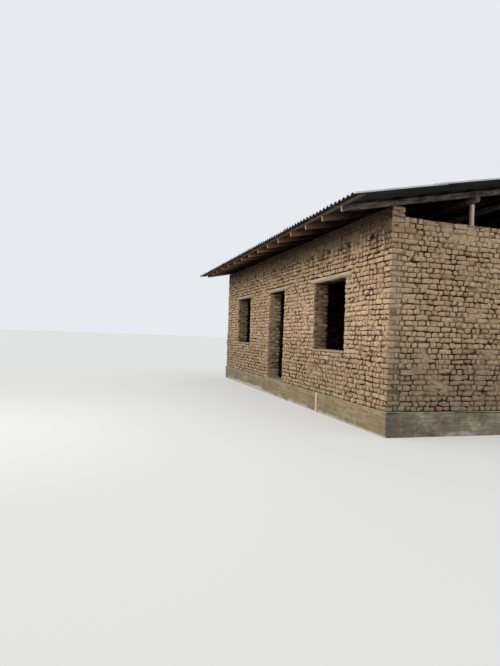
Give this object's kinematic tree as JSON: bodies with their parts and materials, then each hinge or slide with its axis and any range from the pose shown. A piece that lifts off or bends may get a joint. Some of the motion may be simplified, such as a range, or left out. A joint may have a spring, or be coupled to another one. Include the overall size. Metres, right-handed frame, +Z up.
{
  "type": "adobe house",
  "caption": "Unfinished single-storey adobe brick house on a concrete plinth, with open window and door openings and a low gable roof of corrugated sheets on timber rafters.",
  "frame": {"origin": "on the ground at the middle of the plan of the walls", "axes": "+X along the house towards the gable with the near window beside it, +Z up, the front with the doorway faces -Y"},
  "size_m": [12.9, 8.8974, 4.9445],
  "materials": {
    "adobe": "rough sun-dried mud brick",
    "concrete": "rough stained concrete",
    "timber": "rough sawn softwood",
    "board": "rough sawn boards",
    "log": "peeled round logs",
    "roof_sheet": "weathered fibre cement",
    "mud": "dried mud",
    "earth": "beaten earth"
  },
  "bodies": {
    "root": {"front_plinth": "concrete", "back_plinth": "concrete", "left_plinth": "concrete", "right_plinth": "concrete", "plinth_batten": "board", "earth_floor": "earth", "door_threshold": "concrete", "front_wall": "adobe", "back_wall": "adobe", "left_gable_wall": "adobe", "right_gable_wall": "adobe", "near_window_lintel": "board", "door_lintel": "board", "far_window_lintel": "board", "near_window_sill": "mud", "far_window_sill": "mud", "ceiling_joists": "timber", "front_wall_head": "adobe", "back_wall_head": "adobe", "front_upstand": "adobe", "back_upstand": "adobe", "front_wall_plate": "timber", "back_wall_plate": "timber", "front_purlin_posts": "timber", "ridge_posts": "timber", "back_purlin_posts": "timber", "front_purlin": "log", "ridge_log": "log", "back_purlin": "log", "front_rafters": "timber", "back_rafters": "timber", "front_battens": "board", "back_battens": "board", "front_roof_lower": "roof_sheet", "front_roof_middle": "roof_sheet", "front_roof_upper": "roof_sheet", "back_roof_lower": "roof_sheet", "back_roof_middle": "roof_sheet", "back_roof_upper": "roof_sheet", "ridge_cap": "roof_sheet"}
  },
  "joints": []
}
